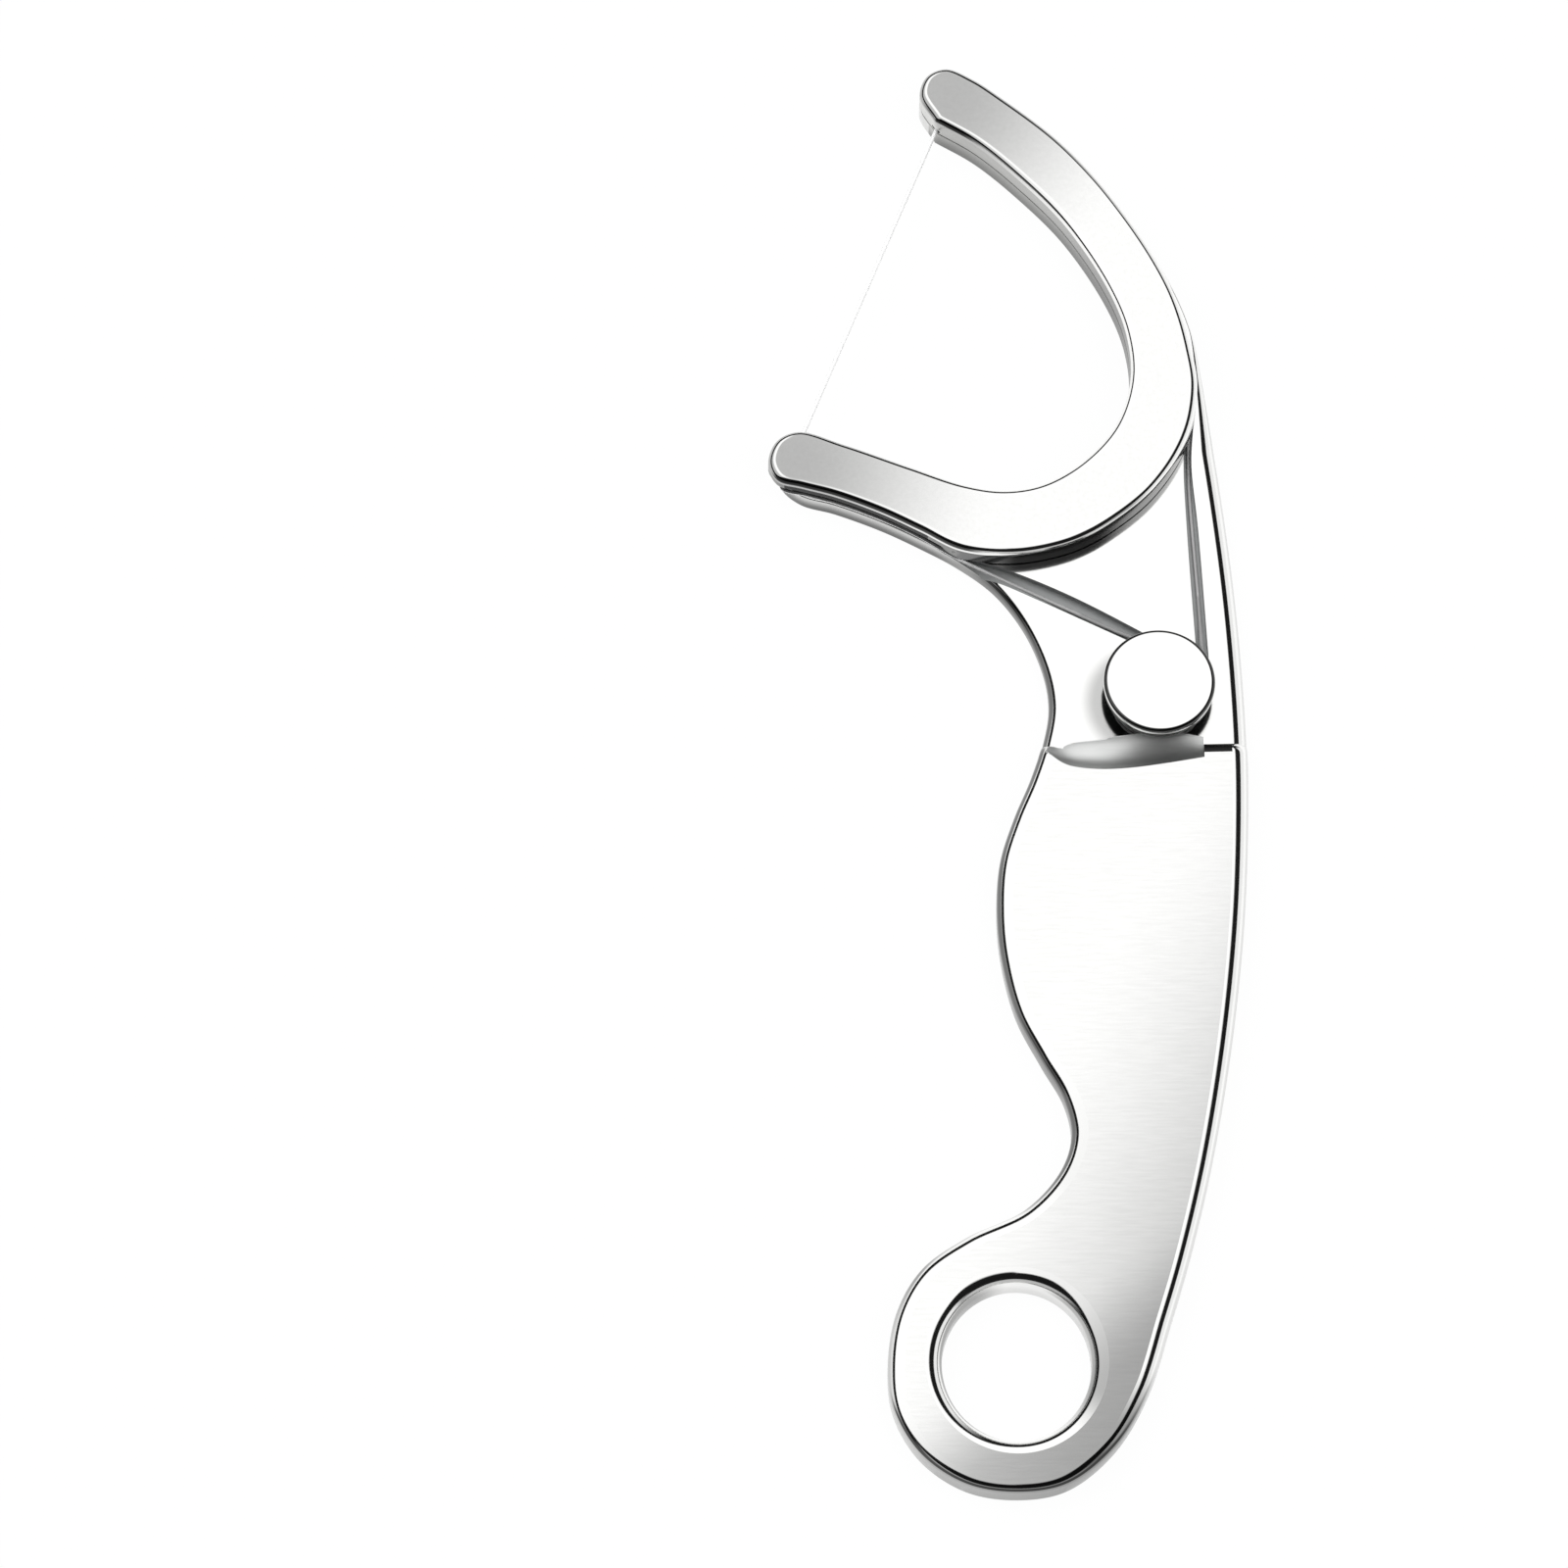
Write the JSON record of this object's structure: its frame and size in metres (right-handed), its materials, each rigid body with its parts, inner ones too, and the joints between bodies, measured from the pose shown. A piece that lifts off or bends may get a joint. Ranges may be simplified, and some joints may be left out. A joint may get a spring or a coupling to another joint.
{
  "type": "floss holder",
  "caption": "Flat steel floss holder: finger ring, grip and a C-shaped fork that spans a strand, with a knob in the neck that winds and clamps it.",
  "frame": {"origin": "middle of the handle's footprint, on the flat back it lies on", "axes": "+Z out of the face with the knob, +Y from the finger ring to the fork, +X towards the straight edge, which is the fork's closed side"},
  "size_m": [0.0356, 0.1134, 0.0043],
  "materials": {
    "plate_steel": "satin, brushed across the grip",
    "cover_steel": "satin face with polished edges",
    "pin_steel": "ground",
    "stud_steel": "turned",
    "washer_steel": "stamped and tumbled",
    "knob_steel": "turned and polished",
    "brass": "turned",
    "fibre": "waxed strand"
  },
  "bodies": {
    "handle": {"base_plate": "plate_steel", "fork_cover": "cover_steel", "cover_pin_1": "pin_steel", "cover_pin_2": "pin_steel", "cover_pin_3": "pin_steel", "cover_pin_4": "pin_steel", "clamp_stud": "stud_steel", "floss": "fibre"},
    "washer": {"clamp_washer": "washer_steel"},
    "knob": {"knob": "knob_steel", "knob_insert": "brass"}
  },
  "joints": [
    {"name": "knob_lift", "type": "slide", "parent": "handle", "child": "washer", "axis": [0, 0, 1], "range_m": [0, 0.0007]},
    {"name": "knob_turn", "type": "hinge", "parent": "washer", "child": "knob", "pos_m": [0.01121, 0.00498, 0.0033], "axis": [0, 0, 1], "range_deg": [0, 540]}
  ],
  "couplings": [
    {"joint": "knob_turn", "follows": "knob_lift", "rad_per_m": 12566}
  ]
}
